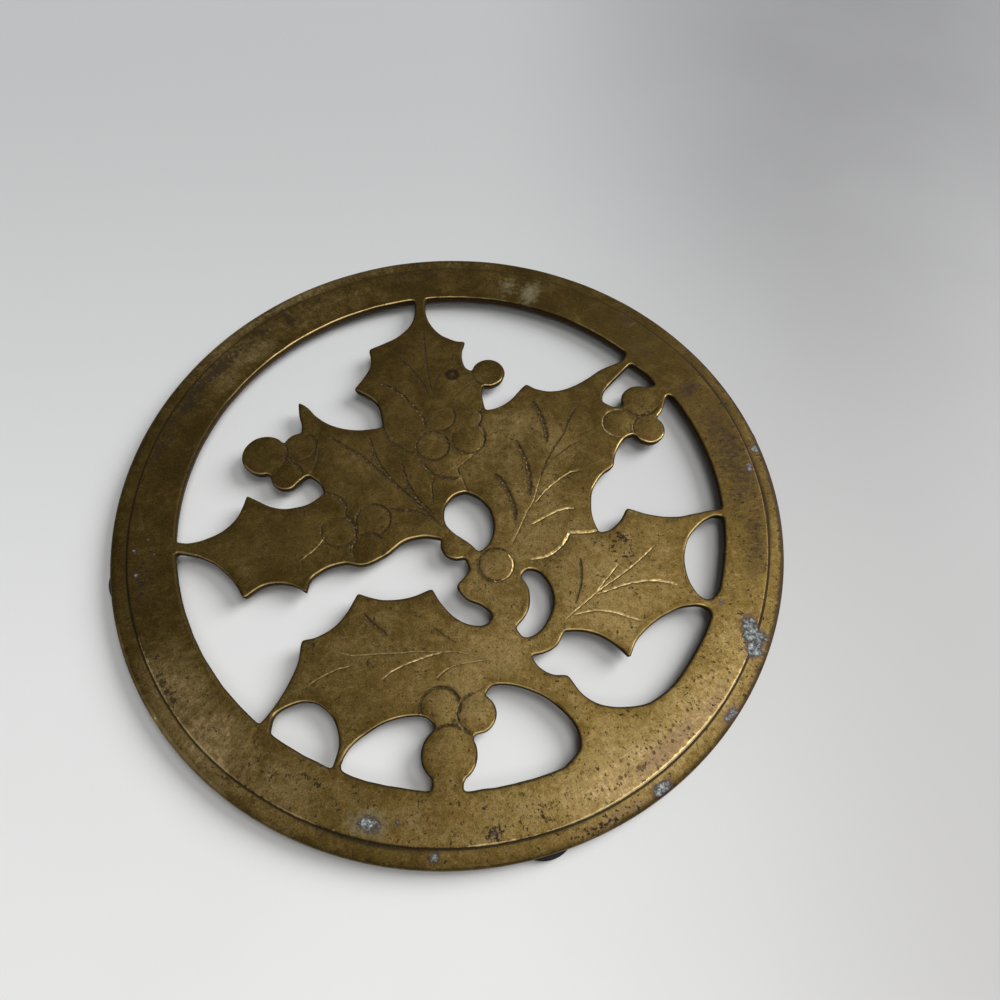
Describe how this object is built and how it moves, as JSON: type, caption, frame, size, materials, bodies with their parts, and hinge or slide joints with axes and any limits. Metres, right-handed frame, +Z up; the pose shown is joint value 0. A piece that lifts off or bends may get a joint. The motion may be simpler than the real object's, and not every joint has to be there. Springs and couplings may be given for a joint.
{
  "type": "trivet",
  "caption": "Round flat brass trivet pierced with holly leaves and berries inside a wide rim band, standing low on round rubber pads.",
  "frame": {"origin": "centre of the round plate, at table level under the foot pads", "axes": "+Z up, out of the plate's face; -Y towards the viewer of the picture, +X to the picture's right"},
  "size_m": [0.203, 0.203, 0.0055],
  "materials": {
    "aged_brass": "aged cast brass with brown patina, bright worn edges and spots of verdigris",
    "black_rubber": "matt moulded rubber"
  },
  "bodies": {
    "root": {"openwork_plate": "aged_brass", "foot_pad_front": "black_rubber", "foot_pad_right": "black_rubber", "foot_pad_back": "black_rubber", "foot_pad_left": "black_rubber"}
  },
  "joints": []
}
